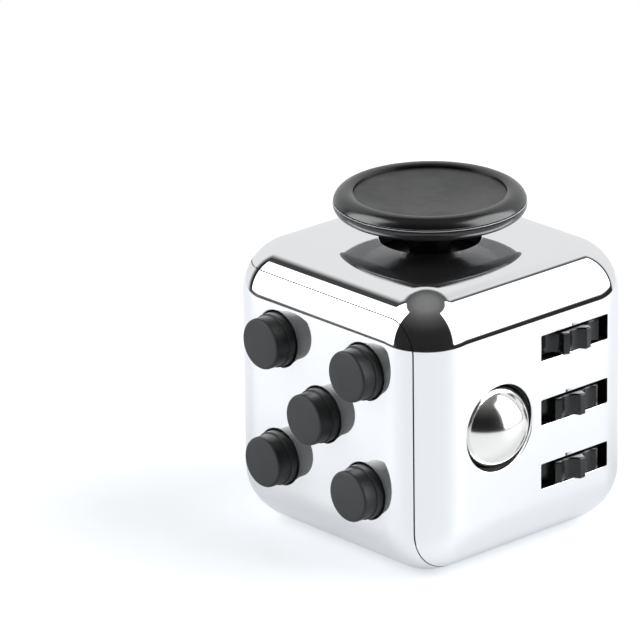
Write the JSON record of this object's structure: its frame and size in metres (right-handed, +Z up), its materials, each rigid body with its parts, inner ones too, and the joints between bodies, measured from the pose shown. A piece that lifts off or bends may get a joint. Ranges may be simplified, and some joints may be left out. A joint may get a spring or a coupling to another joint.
{
  "type": "fidget cube",
  "caption": "Chromed cube with rounded edges and a play piece on each face: buttons, thumb stick, rolling ball with toothed wheels, rocker, dial and a thumb dish.",
  "frame": {"origin": "middle of the base, in the plane that the cube stands on; equal overhang on opposite faces puts it under the middle of the whole object's box", "axes": "+Z up through the thumb-stick face, -Y out of the button face, +X out of the ball and wheel face"},
  "size_m": [0.0378, 0.0382, 0.0385],
  "materials": {
    "chrome_plating": "bright silver chrome plating on moulded ABS",
    "gloss_black": "smooth semi-gloss black moulded plastic",
    "charcoal": "fine matt charcoal inlay",
    "button_rubber": "soft-touch dark grey rubber",
    "matt_black": "matt black moulded plastic",
    "polished_steel": "polished bearing ball",
    "steel": "bright zinc-plated steel",
    "spring_steel": "spring steel",
    "nylon": "natural nylon",
    "silicone": "translucent silicone rubber",
    "laminate": "phenolic board",
    "felt": "pressed felt"
  },
  "bodies": {
    "case": {"click_side_shell": "chrome_plating", "roll_side_shell": "chrome_plating", "glide_centring_ring": "silicone", "glide_housing": "matt_black", "button_guide": "matt_black", "switch_board": "laminate", "wheel_shaft": "steel", "wheel_spacer_1": "nylon", "wheel_spacer_2": "nylon", "roll_cradle": "matt_black", "ball_spring": "spring_steel", "ball_bracket": "matt_black", "rocker_pin": "steel", "rocker_housing": "matt_black", "rocker_leaf_spring": "spring_steel", "dial_washer": "felt", "dome_1": "silicone", "dome_2": "silicone", "dome_3": "silicone", "dome_4": "silicone", "dome_5": "silicone", "snap_disc_1": "spring_steel", "detent_leaf_1": "spring_steel", "snap_disc_2": "spring_steel", "detent_leaf_2": "spring_steel", "snap_disc_3": "spring_steel", "detent_leaf_3": "spring_steel", "board_screw_1": "steel", "board_screw_2": "steel", "glide_screw_1": "steel", "glide_screw_2": "steel", "cradle_screw_1": "steel", "cradle_screw_2": "steel", "bracket_screw_1": "steel", "bracket_screw_2": "steel", "rocker_screw_1": "steel", "rocker_screw_2": "steel"},
    "button_1": {"button_1": "button_rubber"},
    "button_2": {"button_2": "button_rubber"},
    "button_3": {"button_3": "button_rubber"},
    "button_4": {"button_4": "button_rubber"},
    "button_5": {"button_5": "button_rubber"},
    "glide_slide": {"glide_carriage": "nylon"},
    "thumb_stick": {"thumb_ring": "gloss_black", "thumb_pad": "charcoal", "thumb_base": "gloss_black", "stem_screw": "steel", "glide_disc": "matt_black"},
    "wheel_1": {"wheel_1": "matt_black"},
    "wheel_2": {"wheel_2": "matt_black"},
    "wheel_3": {"wheel_3": "matt_black"},
    "ball_carrier": {"ball_cup": "nylon"},
    "ball": {"ball": "polished_steel"},
    "rocker": {"rocker": "gloss_black"},
    "dial": {"spin_dial": "gloss_black", "dial_retainer": "nylon", "dial_screw": "steel"}
  },
  "joints": [
    {"name": "button_1_press", "type": "slide", "parent": "case", "child": "button_1", "axis": [0, 1, 0], "range_m": [0, 0.0011], "stiffness_N_per_m": 400, "springref_m": -0.0008, "deforming": ["dome_1", "snap_disc_1"]},
    {"name": "button_2_press", "type": "slide", "parent": "case", "child": "button_2", "axis": [0, 1, 0], "range_m": [0, 0.0011], "stiffness_N_per_m": 400, "springref_m": -0.0008, "deforming": ["dome_2", "snap_disc_2"]},
    {"name": "button_3_press", "type": "slide", "parent": "case", "child": "button_3", "axis": [0, 1, 0], "range_m": [0, 0.0011], "stiffness_N_per_m": 400, "springref_m": -0.0008, "deforming": ["dome_3", "snap_disc_3"]},
    {"name": "button_4_press", "type": "slide", "parent": "case", "child": "button_4", "axis": [0, 1, 0], "range_m": [0, 0.0011], "stiffness_N_per_m": 400, "springref_m": -0.0008, "deforming": ["dome_4"]},
    {"name": "button_5_press", "type": "slide", "parent": "case", "child": "button_5", "axis": [0, 1, 0], "range_m": [0, 0.0011], "stiffness_N_per_m": 400, "springref_m": -0.0008, "deforming": ["dome_5"]},
    {"name": "thumb_stick_x", "type": "slide", "parent": "case", "child": "glide_slide", "axis": [1, 0, 0], "range_m": [-0.0015, 0.0015], "stiffness_N_per_m": 200, "deforming": ["glide_centring_ring"]},
    {"name": "thumb_stick_y", "type": "slide", "parent": "glide_slide", "child": "thumb_stick", "axis": [0, 1, 0], "range_m": [-0.0015, 0.0015], "stiffness_N_per_m": 200},
    {"name": "wheel_1_turn", "type": "hinge", "parent": "case", "child": "wheel_1", "pos_m": [0.0117, 0.0061, 0.024], "axis": [0, 0, 1], "continuous": true, "deforming": ["detent_leaf_1"]},
    {"name": "wheel_2_turn", "type": "hinge", "parent": "case", "child": "wheel_2", "pos_m": [0.0117, 0.0061, 0.0165], "axis": [0, 0, 1], "continuous": true, "deforming": ["detent_leaf_2"]},
    {"name": "wheel_3_turn", "type": "hinge", "parent": "case", "child": "wheel_3", "pos_m": [0.0117, 0.0061, 0.009], "axis": [0, 0, 1], "continuous": true, "deforming": ["detent_leaf_3"]},
    {"name": "ball_click", "type": "slide", "parent": "case", "child": "ball_carrier", "axis": [-1, 0, 0], "range_m": [0, 0.0006], "stiffness_N_per_m": 800, "springref_m": -0.0005, "deforming": ["ball_spring"]},
    {"name": "ball_roll", "type": "hinge", "parent": "ball_carrier", "child": "ball", "pos_m": [0.014, -0.0053, 0.0165], "axis": [0, 0, 1], "continuous": true},
    {"name": "rocker_flip", "type": "hinge", "parent": "case", "child": "rocker", "pos_m": [-0.0134, 0, 0.0165], "axis": [0, 1, 0], "range_deg": [0, 24], "deforming": ["rocker_leaf_spring"]},
    {"name": "dial_spin", "type": "hinge", "parent": "case", "child": "dial", "pos_m": [0, 0.0175, 0.0165], "axis": [0, 1, 0], "continuous": true}
  ]
}
